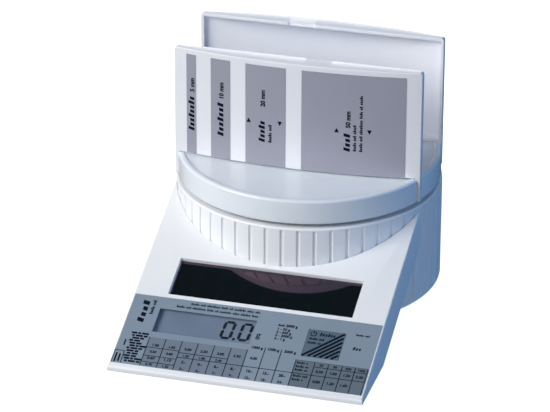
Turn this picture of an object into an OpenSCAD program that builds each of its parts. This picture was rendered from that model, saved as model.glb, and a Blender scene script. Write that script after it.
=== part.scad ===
// Solar letter scale: a round weighing drum with a tray and two upright gauge
// plates, and a sloping console with display, key and solar panel.
// Origin: middle of the footprint, on the table. +X right, +Y back, +Z up.

/* [Overall] */
// Front edge of the console to the back of the drum
depth = 196.7; // [190:0.1:205]
// Clearance that the rubber feet give under the shells
foot_lift = 0.6; // [0.4:0.1:1.2]
// Wall of the moulded shells
wall = 2.2; // [1.8:0.1:2.6]

/* [Drum] */
// Outer diameter of the ribbed drum
drum_d = 129.2; // [128:0.1:131]
// Height of the drum's top deck
drum_h = 51.1; // [50:0.1:54]
// Number of vertical grooves round the drum
groove_count = 52; // [40:1:60]
// Width of one groove
groove_w = 1.7; // [1:0.1:2.5]
// Depth of one groove
groove_depth = 0.7; // [0.3:0.1:1]

/* [Pan] */
// Outer diameter of the weighing pan
pan_d = 127.8; // [126:0.1:128.4]
// Gap between the drum's deck and the pan's skirt
pan_gap = 2.2; // [1.6:0.1:3]
// Height of the pan's floor above its skirt's lower edge
pan_floor_h = 11.2; // [10:0.1:12]
// Height of the raised rim above the floor
rim_h = 0.7; // [0.4:0.1:1]
// Width of the raised rim
rim_w = 2.8; // [2:0.1:3.5]
// How far the pan sinks at full load
pan_travel = 0.8; // [0.4:0.1:1]

/* [Gauge plates] */
// Width of each upright plate
plate_w = 121.5; // [118:0.1:122.5]
// Height of the plates' top edge above the table
plate_top = 119.6; // [110:0.1:130]
// Distance between the plates' flat edges
plate_slot = 40.6; // [38:0.1:44]
// Depth of a plate at its two ends
plate_end = 3.4; // [2.5:0.1:4]
// How far a plate's outer face bows out in the middle
plate_bow = 5.8; // [3:0.1:7]
// Wall of a plate
plate_wall = 1.5; // [1.2:0.1:2]
// Width of the two ears that hang over the pan's edge
ear_w = 2.7; // [2.2:0.1:3]
// Thickness of letter that each printed strip stands for, which is its width
strip_sizes = [5, 10, 20, 50];
// Blank stretch between two strips
strip_space = 7.75; // [7:0.05:8]
// Blank stretch before the first strip
strip_start = 6.2; // [5:0.1:7]

/* [Console] */
// Width of the console
console_w = 121.8; // [118:0.1:124]
// Slope of the console's face, in degrees
slope = 22.7; // [20:0.1:25]
// Height of the console's front edge
lip_h = 2.9; // [2.6:0.1:4]
// Thickness of the sloping slab, measured square to its face
slab_t = 17.5; // [16:0.1:19]
// Printed label: width
label_w = 120; // [116:0.1:120.4]
// Printed label: lower edge, up the slope from the front edge
label_v0 = 2.9; // [2.5:0.1:4]
// Printed label: upper edge, up the slope
label_v1 = 45.4; // [44:0.1:46]
// Solar window: width
solar_w = 89.2; // [80:0.1:90]
// Solar window: lower edge, up the slope
solar_v0 = 47.8; // [47:0.1:49]
// Solar window: upper edge, up the slope
solar_v1 = 70.6; // [66:0.1:70.8]

/* [Display and key] */
// Display window: left edge
lcd_x0 = -45.9; // [-50:0.1:-40]
// Display window: right edge
lcd_x1 = 1.2; // [0:0.1:5]
// Display window: lower edge, up the slope
lcd_v0 = 24; // [22:0.1:25]
// Display window: upper edge, up the slope
lcd_v1 = 38.5; // [36:0.1:39.5]
// Key: left edge
key_x0 = 26.5; // [24:0.1:28]
// Key: right edge
key_x1 = 44.3; // [42:0.1:46]
// Key: lower edge, up the slope
key_v0 = 21.3; // [21:0.1:23]
// Key: upper edge, up the slope
key_v1 = 37.8; // [36:0.1:39]
// How far the key goes in
key_travel = 0.4; // [0.2:0.1:0.6]

/* [Hidden] */
$fn = 96;
cut = 0.5;                                   // overrun of every cutting body

drum_r = drum_d / 2;
pan_r = pan_d / 2;
front_y = -depth / 2;
drum_y = depth / 2 - drum_r;                 // drum axis
pan_z = drum_h + pan_gap;                    // lower edge of the pan's skirt
floor_z = pan_z + pan_floor_h;
rim_z = floor_z + rim_h;
seam = 0.2;                                  // gap between console and drum
fit_gap = 0.3;                               // gap between parts that move apart

white = [0.93, 0.93, 0.95];
steel = [0.72, 0.73, 0.75];

// ---------- placing and shared shapes ----------

module at_drum() {
    translate([0, drum_y, 0]) children();
}

// Frame of the console's face: X across, Y up the slope, Z square out of it.
module on_slope() {
    translate([0, front_y, lip_h]) rotate([slope, 0, 0]) children();
}

// A box on the slope between two corners, from depth n0 down to n1.
module slope_box(x0, x1, v0, v1, n0, n1) {
    on_slope() translate([x0, v0, -n1]) cube([x1 - x0, v1 - v0, n1 - n0]);
}

function arc(c, r, a0, a1, steps = 6) =
    [for (i = [0:steps]) c + r * [cos(a0 + (a1 - a0) * i / steps), sin(a0 + (a1 - a0) * i / steps)]];

// A screw with a pan head on top of its shank, pointing down from z = 0.
module screw(shank_r, shank_l, head_r, head_h) {
    translate([0, 0, -shank_l]) cylinder(r = shank_r, h = shank_l + cut, $fn = 32);
    difference() {
        cylinder(r = head_r, h = head_h, $fn = 48);
        for (a = [0, 90]) rotate([0, 0, a])
            translate([-head_r * 0.6, -0.35, head_h * 0.45]) cube([head_r * 1.2, 0.7, head_h]);
    }
}

// ---------- drum ----------

drum_screw_r = 54;                           // circle of the base's four screws
boss_r = 3.4;
pilot_r = 1.1;
deck_hole_r = 13;
base_t = 2.4;
base_top = foot_lift + base_t;
tongue_z = 12;                               // underside of the console's tongue
tongue_x = 14;
tongue_y = -54;                              // from the drum axis
rear_foot = [28, 47];                        // from the drum axis
foot_r = 5;
foot_inset = 1.2;

module drum_shell() color(white) at_drum() difference() {
    union() {
        difference() {
            rotate_extrude($fn = 200) polygon(concat(
                [[deck_hole_r, drum_h - wall], [deck_hole_r, drum_h]],
                [[drum_r - 1, drum_h]], arc([drum_r - 1, drum_h - 1], 1, 90, 0),
                [[drum_r, foot_lift], [drum_r - wall, foot_lift], [drum_r - wall, drum_h - wall]]));
            for (i = [0:groove_count - 1]) rotate([0, 0, -90 + (i + 0.5) * 360 / groove_count])
                translate([drum_r - groove_depth, -groove_w / 2, foot_lift + 1.2])
                    cube([groove_depth + cut, groove_w, drum_h - foot_lift - 2.6]);
        }
        for (a = [45:90:315]) rotate([0, 0, a]) translate([drum_screw_r, 0, base_top])
            cylinder(r = boss_r, h = drum_h - wall - base_top + cut);
    }
    for (a = [45:90:315]) rotate([0, 0, a]) translate([drum_screw_r, 0, base_top - cut])
        cylinder(r = pilot_r, h = 14, $fn = 32);
    // opening for the console's tongue and the cables
    translate([-24, -drum_r - cut, tongue_z - 0.4]) cube([48, 14, 14]);
}

module drum_base() color(white) at_drum() difference() {
    union() {
        translate([0, 0, foot_lift]) cylinder(r = drum_r - wall - seam, h = base_t, $fn = 200);
        for (s = [-1, 1]) translate([s * tongue_x, tongue_y, base_top - cut])
            cylinder(r = 4, h = tongue_z - base_top + cut);
        translate([0, 0, base_top - cut]) difference() {
            cylinder(r = 47, h = 4 + cut);
            translate([0, 0, -cut]) cylinder(r = 45.4, h = 5 + 2 * cut);
            translate([-26, -60, 0]) cube([52, 30, 10]);
        }
    }
    for (a = [45:90:315]) rotate([0, 0, a]) translate([drum_screw_r, 0, 0]) {
        cylinder(r = 1.7, h = 6, $fn = 32);
        translate([0, 0, -cut]) cylinder(r = 3, h = foot_lift + 1 + cut, $fn = 48);
    }
    for (s = [-1, 1]) {
        translate([s * tongue_x, tongue_y, tongue_z - 9]) cylinder(r = pilot_r, h = 10, $fn = 32);
        translate([s * rear_foot.x, rear_foot.y, -cut])
            cylinder(r = foot_r + 0.1, h = foot_lift + foot_inset + cut);
    }
    for (x = cell_fixed_x) translate([x, 0, -cut]) {
        cylinder(r = 2.1, h = 6, $fn = 32);
        cylinder(r = 3.8, h = foot_lift + 1.2 + cut, $fn = 48);
    }
    translate([cell_free_x[1], 0, 0]) cylinder(r = 1.6, h = 6, $fn = 32);
}

// ---------- console ----------

face_t = 2.2;                                // thickness of the console's face
cover_t = 2;
cover_play = 0.1;
nose_r = 0.9;                                // rounding of the front edge
label_sink = 0.3;
slab_drop = slab_t / cos(slope);             // the slab's thickness measured upright
console_l = 112;                             // runs on until the drum cuts it
front_foot = [48, 15];                       // from the middle of the front edge
front_screw = [54, 22];
rear_screw = [54, 69];                       // on the slope
function face_z(y) = lip_h + y * tan(slope);

// Side outline of the console from y0 on, with its face sunk by down and its
// flat and sloping undersides raised by up.
module console_side(down, up, y0) {
    sink = down / cos(slope);
    flat_z = foot_lift + up;
    tip = max(y0, (flat_z - lip_h + sink) / tan(slope));
    kink = (flat_z - lip_h + slab_drop - up / cos(slope)) / tan(slope);
    polygon(concat(
        [[tip, flat_z]],
        tip > y0 ? [] : [[y0, face_z(y0) - sink]],
        [[console_l, face_z(console_l) - sink],
         [console_l, face_z(console_l) - slab_drop + up / cos(slope)],
         [kink, flat_z]]));
}

// Drawn as seen from the right, then run across the console's width.
module across(w) {
    translate([0, front_y, 0]) rotate([90, 0, 90]) linear_extrude(w, center = true) children();
}

module drum_cutter(extra) {
    at_drum() translate([0, 0, -cut]) cylinder(r = drum_r + extra, h = 80, $fn = 200);
}

module console_shell() color(white) difference() {
    union() {
        difference() {
            across(console_w) console_side(0, 0, 0);
            across(console_w - 2 * wall) console_side(face_t, -cut, wall);
        }
        intersection() {
            across(console_w - wall) console_side(face_t / 2, cover_t, 1);
            union() {
                for (s = [-1, 1]) {
                    translate([s * front_screw.x, front_y + front_screw.y, 0]) cylinder(r = boss_r, h = 30);
                    on_slope() translate([s * rear_screw.x, rear_screw.y, -slab_t])
                        cylinder(r = boss_r, h = slab_t);
                }
                for (p = board_screw_at) on_slope() translate([p.x, p.y, -board_n])
                    cylinder(r = 2.4, h = board_n);
            }
        }
    }
    // rounded front edge
    across(console_w + 2) difference() {
        translate([-cut, lip_h - nose_r]) square([nose_r + cut, nose_r + cut]);
        translate([nose_r, lip_h - nose_r]) circle(r = nose_r, $fn = 48);
    }
    drum_cutter(seam);
    slope_box(-label_w / 2, label_w / 2, label_v0, label_v1, -cut, label_sink);
    slope_box(lcd_x0, lcd_x1, lcd_v0, lcd_v1, -cut, face_t + cut);
    slope_box(key_x0, key_x1, key_v0, key_v1, -cut, face_t + cut);
    slope_box(-solar_w / 2, solar_w / 2, solar_v0, solar_v1, -cut, face_t + cut);
    for (s = [-1, 1]) {
        translate([s * front_screw.x, front_y + front_screw.y, 0]) cylinder(r = pilot_r, h = 9, $fn = 32);
        on_slope() translate([s * rear_screw.x, rear_screw.y, -slab_t]) cylinder(r = pilot_r, h = 12, $fn = 32);
    }
    for (p = board_screw_at) on_slope() translate([p.x, p.y, -board_n - cut])
        cylinder(r = 0.8, h = board_n - face_t, $fn = 32);
}

module console_cover() color(white) difference() {
    union() {
        difference() {
            across(console_w - 2 * (wall + cover_play)) difference() {
                console_side(face_t + cover_play, 0, wall + cover_play);
                console_side(-5, cover_t, -cut);
            }
            drum_cutter(seam);
        }
        // tongue that reaches into the drum and is screwed to its base
        at_drum() translate([-20, -drum_r - 5, tongue_z]) cube([40, 21, 2]);
    }
    for (s = [-1, 1]) {
        at_drum() translate([s * tongue_x, tongue_y, 0]) cylinder(r = 1.7, h = 30, $fn = 32);
        translate([s * front_screw.x, front_y + front_screw.y, 0]) {
            cylinder(r = 1.7, h = 9, $fn = 32);
            translate([0, 0, -cut]) cylinder(r = 3, h = foot_lift + 1 + cut, $fn = 48);
        }
        on_slope() translate([s * rear_screw.x, rear_screw.y, -slab_t - cut]) {
            cylinder(r = 1.7, h = 9, $fn = 32);
            cylinder(r = 3, h = 1 + cut, $fn = 48);
        }
        translate([s * front_foot.x, front_y + front_foot.y, -cut])
            cylinder(r = foot_r + 0.1, h = foot_lift + foot_inset + cut);
    }
}

module rubber_feet() color("dimgray") {
    foot_h = foot_lift + foot_inset;
    for (s = [-1, 1]) {
        at_drum() translate([s * rear_foot.x, rear_foot.y, 0]) cylinder(r = foot_r, h = foot_h);
        translate([s * front_foot.x, front_y + front_foot.y, 0]) cylinder(r = foot_r, h = foot_h);
    }
}

module base_screws() color(steel) at_drum()
    for (a = [45:90:315]) rotate([0, 0, a]) translate([drum_screw_r, 0, foot_lift + 1])
        rotate([180, 0, 0]) screw(1.05, 11, 2.8, 0.9);

module cover_screws() color(steel) for (s = [-1, 1]) {
    translate([s * front_screw.x, front_y + front_screw.y, foot_lift + 1])
        rotate([180, 0, 0]) screw(1.05, 7, 2.8, 0.9);
    on_slope() translate([s * rear_screw.x, rear_screw.y, -slab_t + 1])
        rotate([180, 0, 0]) screw(1.05, 9, 2.8, 0.9);
}

module tongue_screws() color(steel) at_drum()
    for (s = [-1, 1]) translate([s * tongue_x, tongue_y, tongue_z + 2]) screw(1.05, 9, 2.8, 1.6);

// ---------- display, key and board ----------

board_n = 7;                                 // depth of the board's upper face
board_t = 1.6;
board_v = [28, 64];
board_w = 104;
board_screw_at = [[-49, 47], [49, 47], [-49, 60], [49, 60]];
glass_n = [2.3, 4.1];
switch_at = [35.4, 31.5];
switch_h = 2.6;

module label_foil() color([0.62, 0.65, 0.7]) difference() {
    slope_box(-label_w / 2 + 0.05, label_w / 2 - 0.05, label_v0 + 0.05, label_v1 - 0.05, 0.05, label_sink);
    slope_box(lcd_x0, lcd_x1, lcd_v0, lcd_v1, -cut, 1);
    slope_box(key_x0, key_x1, key_v0, key_v1, -cut, 1);
}

module display_window() color([0.8, 0.85, 0.9, 0.4])
    slope_box(lcd_x0 + 0.05, lcd_x1 - 0.05, lcd_v0 + 0.05, lcd_v1 - 0.05, 0.1, 0.5);

module display_glass() color([0.5, 0.55, 0.6])
    slope_box(lcd_x0 - 2, lcd_x1 + 2, lcd_v0 - 1.5, lcd_v1 + 2.5, glass_n[0], glass_n[1]);

module display_reflector() color("silver")
    slope_box(lcd_x0 - 2, lcd_x1 + 2, lcd_v0 - 1.5, lcd_v1, glass_n[1], glass_n[1] + 0.4);

module display_holder() color("whitesmoke") difference() {
    slope_box(lcd_x0 - 4, lcd_x1 + 4, lcd_v0 - 3, lcd_v1 + 4.5, face_t + 0.1, board_n);
    slope_box(lcd_x0 - 2.1, lcd_x1 + 2.1, lcd_v0 - 1.6, lcd_v1 + 2.6, 0, board_n + cut);
}

module contact_strip() color("pink")
    slope_box(lcd_x0, lcd_x1, lcd_v1 + 0.2, lcd_v1 + 2.4, glass_n[1], board_n);

module main_board() color("darkgreen") difference() {
    slope_box(-board_w / 2, board_w / 2, board_v[0], board_v[1], board_n, board_n + board_t);
    for (p = board_screw_at) on_slope() translate([p.x, p.y, -board_n - 3]) cylinder(r = 1.1, h = 4, $fn = 32);
}

module chip_cover() color("black") on_slope() translate([-20, 36, -board_n - board_t])
    rotate([180, 0, 0]) rotate_extrude() intersection() {
        translate([0, -6.2]) circle(r = 8);
        square([8, 4]);
    }

module storage_capacitors() color("midnightblue") on_slope()
    for (x = [-34, -20, -6]) translate([x, 54, -board_n - board_t - 3.2])
        rotate([0, 90, 0]) cylinder(r = 3.1, h = 11);

module small_parts() color("darkgoldenrod") {
    for (x = [6:5:26], v = [42, 47]) slope_box(x, x + 3.2, v, v + 1.6, board_n + board_t, board_n + board_t + 0.9);
    on_slope() translate([12, 56, -board_n - board_t - 1.6]) rotate([0, 90, 0]) cylinder(r = 1.5, h = 8, $fn = 32);
}

module board_screws() color(steel) for (p = board_screw_at)
    on_slope() translate([p.x, p.y, -board_n - board_t]) rotate([180, 0, 0]) screw(0.75, 5, 2, 1.2);

module key_switch() color([0.25, 0.25, 0.27]) on_slope() translate([switch_at.x, switch_at.y, -board_n]) {
    translate([-3, -3, 0]) cube([6, 6, switch_h - 0.7]);
    cylinder(r = 1.7, h = switch_h, $fn = 32);
}

module cable_socket() color("ivory") difference() {
    slope_box(34, 43, 54, 60, board_n + board_t, board_n + board_t + 5);
    slope_box(35, 42, 57, 60 + cut, board_n + board_t + 1, board_n + board_t + 4);
}

// The key's face lies level with the label; a flange under the shell's face
// keeps it in, and a stem reaches for the switch.
module key_pad() color([0.55, 0.58, 0.63]) {
    side = 0.2;
    flange_n = [face_t + fit_gap, face_t + fit_gap + 0.8];
    stem_n = board_n - switch_h - key_travel - fit_gap;
    slope_box(key_x0 + side, key_x1 - side, key_v0 + side, key_v1 - side, 0.05, flange_n[1]);
    slope_box(key_x0 - 1, key_x1 + 1, key_v0 - 0.8, key_v1 + 1, flange_n[0], flange_n[1]);
    on_slope() translate([switch_at.x, switch_at.y, -stem_n]) cylinder(r = 2.5, h = stem_n - flange_n[0], $fn = 48);
}

// ---------- solar panel ----------

solar_lap = [1.5, 1.4, 0.6];                 // the panel's lap under the face: sides, bottom, top
solar_n = [face_t, face_t + 1.1, face_t + 2];

module solar_layer(n0, n1) {
    half_w = solar_w / 2 + solar_lap[0];
    slope_box(-half_w, half_w, solar_v0 - solar_lap[1], solar_v1 + solar_lap[2], n0, n1);
}

module solar_glass() color([0.1, 0.13, 0.16, 0.8]) solar_layer(solar_n[0], solar_n[1]);

module solar_cell() color([0.07, 0.06, 0.08]) solar_layer(solar_n[1], solar_n[2]);

// ---------- wiring ----------

// A round wire through a list of points: rings of eight corners, one per point,
// each square to the way the wire runs there.
wire_sides = 8;
function unit(v) = v / norm(v);
function along(p, i) = unit(p[min(i + 1, len(p) - 1)] - p[max(i - 1, 0)]);
function sideways(t) = unit(cross(t, abs(t.z) < 0.9 ? [0, 0, 1] : [1, 0, 0]));
function ring(p, i, r) = let (t = along(p, i), a = sideways(t), b = cross(a, t))
    [for (k = [0:wire_sides - 1]) p[i] + r * (a * cos(k * 360 / wire_sides) + b * sin(k * 360 / wire_sides))];
// Points of a smooth curve through the given ones.
function smooth_at(p, i, t) = let (
        a = p[max(i - 1, 0)], b = p[i], c = p[i + 1], d = p[min(i + 2, len(p) - 1)])
    0.5 * (2 * b + (c - a) * t + (2 * a - 5 * b + 4 * c - d) * t * t + (3 * b - a - 3 * c + d) * t * t * t);
function smooth(p, steps = 4) = concat(
    [for (i = [0:len(p) - 2], s = [0:steps - 1]) smooth_at(p, i, s / steps)], [p[len(p) - 1]]);

module wire(points, r) {
    p = smooth(points);
    n = len(p);
    polyhedron(
        points = [for (i = [0:n - 1]) each ring(p, i, r)],
        faces = concat(
            [[for (k = [0:wire_sides - 1]) k]],
            [for (i = [0:n - 2], k = [0:wire_sides - 1]) let (j = (k + 1) % wire_sides)
                [i * wire_sides + k, (i + 1) * wire_sides + k, (i + 1) * wire_sides + j, i * wire_sides + j]],
            [[for (k = [wire_sides - 1:-1:0]) (n - 1) * wire_sides + k]]));
}

// The two leads run from the back of the solar cell over the board's top edge:
// each point is up the slope, then height above the face.
lead_r = 0.55;
lead_route = [[60, -4.8], [64, -4.9], [67.3, -6.5], [67.6, -8.6], [65, -9.7], [62, -9.25], [59, -9.2]];

module solar_leads() for (s = [0, 1]) color(s == 0 ? "firebrick" : "black") on_slope()
    wire([for (q = lead_route) [-40 - 3 * s, q.x, q.y]], lead_r);

// Screened cable from the load cell's side, through the drum's opening, to its socket.
cable_route = [[-20, 27.3, 15], [-20, 20, 15], [-18, 8, 13.5], [-9, -5, 15], [2, -15, 19], [10, -22, 21],
               [16, -28, 21.5], [24, -31, 20.5], [33, -32, 19], [38, -33, 18.2], [38.5, -36.5, 16.7],
               [38.5, -40.5, 15.05]];

module cell_cable() color("gray") wire([for (q = cable_route) [q.x, q.y, q.z]], 1.2);

// ---------- load cell ----------

beam = [80, 12.7, 12.7];
mount_h = 6;
beam_z = base_top + mount_h;
beam_top = beam_z + beam.z;
cell_fixed_x = [-36, -28];
cell_free_x = [29, 36.5];
neck_x = 7;                                  // the twin bores, left and right of the middle
neck_r = 5;

module load_cell() color([0.78, 0.79, 0.81]) at_drum() difference() {
    translate([-beam.x / 2, -beam.y / 2, beam_z]) cube(beam);
    for (s = [-1, 1]) translate([s * neck_x, 0, beam_z + beam.z / 2]) rotate([90, 0, 0])
        cylinder(r = neck_r, h = beam.y + 2 * cut, center = true);
    translate([0, 0, beam_z + beam.z / 2]) cube([2 * neck_x, beam.y + 2 * cut, 3], center = true);
    for (x = cell_fixed_x) translate([x, 0, beam_z - cut]) cylinder(r = 1.95, h = 10, $fn = 32);
    for (x = cell_free_x) translate([x, 0, beam_top - 10]) cylinder(r = 2.1, h = 10 + cut, $fn = 32);
}

module strain_gauges() color("linen") at_drum() for (s = [-1, 1], z = [beam_z - 0.4, beam_top])
    translate([s * neck_x - 4, -4, z]) cube([8, 8, 0.4]);

module cell_mount() color(steel) at_drum() difference() {
    translate([-41, -8, base_top]) cube([18, 16, mount_h]);
    for (x = cell_fixed_x) translate([x, 0, base_top - cut]) cylinder(r = 2.1, h = mount_h + 2 * cut, $fn = 32);
}

module cell_screws() color(steel) at_drum() for (x = cell_fixed_x)
    translate([x, 0, foot_lift + 1.2]) rotate([180, 0, 0]) screw(1.9, 14, 3.6, 1);

module overload_stop() color(steel) at_drum() translate([cell_free_x[1], 0, 0]) {
    translate([0, 0, base_top]) cylinder(r = 3.4, h = 2.4, $fn = 6);
    translate([0, 0, foot_lift + 0.3]) cylinder(r = 1.5, h = beam_z - pan_travel - foot_lift - 0.5, $fn = 32);
}

// ---------- pan and its carrier ----------

post_r = 9;
arm_z = beam_top + 0.05;                     // the carrier's foot on the beam's free end
arm_t = 4;
spider_z = floor_z - 8;
spider_t = 2.5;
spider_r = 47;
arm_from = 16;                               // arms start inside the spider's disc
pan_t = 2;
pan_boss_r = 3;

module pan_carrier() color([0.3, 0.31, 0.33]) at_drum() difference() {
    union() {
        translate([22, -6.3, arm_z]) cube([20, 12.6, arm_t]);
        translate([22, -6.3, arm_z + arm_t - cut]) cube([3, 12.6, 5]);
        translate([-8, -6.3, arm_z + arm_t + 3]) cube([33, 12.6, arm_t]);
        translate([0, 0, arm_z + arm_t + 3]) cylinder(r = post_r, h = spider_z - arm_z - arm_t - 2);
        translate([0, 0, spider_z]) cylinder(r = 22, h = spider_t);
        for (a = [45:90:315]) rotate([0, 0, a]) {
            translate([arm_from, -4, spider_z]) cube([spider_r - arm_from, 8, spider_t]);
            translate([spider_r, 0, spider_z]) cylinder(r = 4.5, h = spider_t);
        }
    }
    for (x = cell_free_x) translate([x, 0, arm_z - cut]) cylinder(r = 2.1, h = arm_t + 2 * cut, $fn = 32);
    for (a = [45:90:315]) rotate([0, 0, a]) translate([spider_r, 0, spider_z - cut])
        cylinder(r = 1.7, h = spider_t + 2 * cut, $fn = 32);
    translate([0, 0, arm_z + arm_t + 8]) cylinder(r = post_r - 2.2, h = 60);
}

module carrier_screws() color(steel) at_drum() for (x = cell_free_x)
    translate([x, 0, arm_z + arm_t]) screw(1.95, 11, 3.2, 2.2);

module pan_screws() color(steel) at_drum() for (a = [45:90:315]) rotate([0, 0, a])
    translate([spider_r, 0, spider_z]) rotate([180, 0, 0]) screw(1.05, 6.5, 2.8, 1.6);

ear_depth = plate_end + 0.6;                 // an ear is deepest at its inner side
ear_y = (plate_slot + ear_depth) / 2;        // middle of an ear, from the drum axis
socket_x = plate_w / 2 - ear_w - fit_gap;
socket_wall = 1.6;

module each_ear() for (sx = [-1, 1], sy = [-1, 1]) translate([0, sy * ear_y, 0]) scale([sx, 1, 1]) children();

module weighing_pan() color([0.9, 0.92, 0.95]) at_drum() difference() {
    union() {
        rotate_extrude($fn = 200) polygon(concat(
            [[0, floor_z - pan_t], [0, floor_z], [pan_r - rim_w - 0.4, floor_z], [pan_r - rim_w, rim_z - 0.15],
             [pan_r - rim_w + 0.3, rim_z]],
            arc([pan_r - 1.4, rim_z - 1.4], 1.4, 90, 0),
            [[pan_r, pan_z + 0.3], [pan_r - 0.3, pan_z], [pan_r - 1.8, pan_z], [pan_r - 1.8, floor_z - pan_t]]));
        // socket blocks behind the ears
        intersection() {
            each_ear() translate([socket_x - socket_wall, -ear_depth / 2 - fit_gap - socket_wall, pan_z])
                cube([10, ear_depth + 2 * (fit_gap + socket_wall), pan_floor_h - 0.2]);
            translate([0, 0, pan_z]) cylinder(r = pan_r - 0.5, h = pan_floor_h, $fn = 200);
        }
        for (a = [45:90:315]) rotate([0, 0, a]) translate([spider_r, 0, spider_z + spider_t])
            cylinder(r = pan_boss_r, h = floor_z - spider_z - spider_t - 1);
    }
    each_ear() translate([socket_x, -ear_depth / 2 - fit_gap, pan_z - cut])
        cube([10, ear_depth + 2 * fit_gap, pan_floor_h + rim_h + 2 * cut]);
    for (a = [45:90:315]) rotate([0, 0, a]) translate([spider_r, 0, spider_z + spider_t - cut])
        cylinder(r = pilot_r, h = 5, $fn = 32);
}

// ---------- gauge plates ----------

// A plate stands with its flat edge at y = 0 and bows towards -y.
bow_r = (pow(plate_w / 2, 2) + pow(plate_bow, 2)) / (2 * plate_bow);
plate_mid = plate_end + plate_bow;           // depth in the middle
plate_foot = rim_z + fit_gap;
corner_r = 1.6;
ear_z = pan_z + 0.2;                         // lower end of the ears
lip_t = 1.8;                                 // rim round the hollow back: ends, top and foot

// Seen from above: a chord with a bowed front, drawn in by inset, open at the back.
module bow_outline(inset, side_inset) intersection() {
    translate([0, bow_r - plate_mid]) circle(r = bow_r - inset, $fn = 720);
    translate([side_inset - plate_w / 2, -plate_mid - cut])
        square([plate_w - 2 * side_inset, plate_mid + 2 * cut]);
}

// Seen from the front: the plate with its rounded upper corners and its two ears.
module plate_view() {
    hw = plate_w / 2;
    polygon(concat(
        [[-hw, ear_z + 0.6], [-hw + 0.6, ear_z], [-hw + ear_w, ear_z], [-hw + ear_w, plate_foot],
         [hw - ear_w, plate_foot], [hw - ear_w, ear_z], [hw - 0.6, ear_z], [hw, ear_z + 0.6]],
        arc([hw - corner_r, plate_top - corner_r], corner_r, 0, 90),
        arc([-hw + corner_r, plate_top - corner_r], corner_r, 90, 180)));
}

module plate() difference() {
    intersection() {
        translate([0, 0, ear_z - cut]) linear_extrude(plate_top - ear_z + 2 * cut) bow_outline(0, -cut);
        rotate([90, 0, 0]) linear_extrude(plate_mid + cut) plate_view();
    }
    translate([0, 0, plate_foot + lip_t]) linear_extrude(plate_top - plate_foot - 2 * lip_t)
        bow_outline(plate_wall, lip_t);
    // finger notch in the top edge
    translate([3.5, -0.9, plate_top - lip_t - cut]) cube([13, 0.9 + cut, lip_t + 2 * cut]);
}

module front_plate() color(white) at_drum() translate([0, -plate_slot / 2, 0]) plate();

module rear_plate() color(white) at_drum() translate([0, plate_slot / 2, 0]) rotate([0, 0, 180]) plate();

// Left edge of strip i, measured along the bowed face from the plate's left end.
function strip_left(i) = i == 0 ? strip_start : strip_left(i - 1) + strip_sizes[i - 1] + strip_space;

strip_t = 0.15;
strip_gap_top = 2.6;

module front_strips() color([0.55, 0.55, 0.62]) at_drum() translate([0, -plate_slot / 2, 0])
    for (i = [0:3]) intersection() {
        translate([0, bow_r - plate_mid, plate_foot + 0.3]) difference() {
            cylinder(r = bow_r + strip_t, h = plate_top - plate_foot - strip_gap_top - 0.3, $fn = 720);
            translate([0, 0, -cut]) cylinder(r = bow_r, h = plate_top, $fn = 720);
        }
        x0 = bow_r * sin((strip_left(i) - plate_w / 2) / bow_r * 180 / PI);
        x1 = bow_r * sin((strip_left(i) + strip_sizes[i] - plate_w / 2) / bow_r * 180 / PI);
        translate([x0, -plate_mid - 2, 0]) cube([x1 - x0, plate_mid + 2, plate_top]);
    }

drum_shell();
drum_base();
console_shell();
console_cover();
rubber_feet();
base_screws();
cover_screws();
tongue_screws();
label_foil();
display_window();
display_glass();
display_reflector();
display_holder();
contact_strip();
main_board();
chip_cover();
storage_capacitors();
small_parts();
board_screws();
key_switch();
cable_socket();
key_pad();
solar_glass();
solar_cell();
solar_leads();
cell_cable();
load_cell();
strain_gauges();
cell_mount();
cell_screws();
overload_stop();
pan_carrier();
carrier_screws();
pan_screws();
weighing_pan();
front_plate();
front_strips();
rear_plate();
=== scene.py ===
"""Solar letter scale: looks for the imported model.

Sizes are in millimetres and are scaled to metres when a mesh is made. X runs across, Y from the
console's front edge to the drum, Z up, with the origin in the middle of the footprint on the table.
"""

import math

import bmesh
import bpy
import numpy as np
from mathutils import Matrix, Vector


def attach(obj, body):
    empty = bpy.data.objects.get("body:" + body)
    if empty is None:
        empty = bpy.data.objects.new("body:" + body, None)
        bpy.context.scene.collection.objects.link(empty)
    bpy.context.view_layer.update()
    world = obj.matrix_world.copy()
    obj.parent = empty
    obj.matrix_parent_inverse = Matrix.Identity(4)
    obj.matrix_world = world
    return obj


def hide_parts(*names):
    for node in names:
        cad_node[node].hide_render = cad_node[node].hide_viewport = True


# ---------- frame, camera, floor and light ----------
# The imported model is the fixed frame. The camera stands to the right of the console and looks down
# at it from a distance; a broad lamp to the left front is the key, and the room on the right is blue.

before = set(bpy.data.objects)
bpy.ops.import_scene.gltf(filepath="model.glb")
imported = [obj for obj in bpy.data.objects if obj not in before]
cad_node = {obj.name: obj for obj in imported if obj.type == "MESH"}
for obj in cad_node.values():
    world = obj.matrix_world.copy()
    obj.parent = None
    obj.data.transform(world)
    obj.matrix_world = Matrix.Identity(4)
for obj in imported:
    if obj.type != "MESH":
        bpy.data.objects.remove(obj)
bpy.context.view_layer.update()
scene = bpy.context.scene
MM = 0.001

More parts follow.
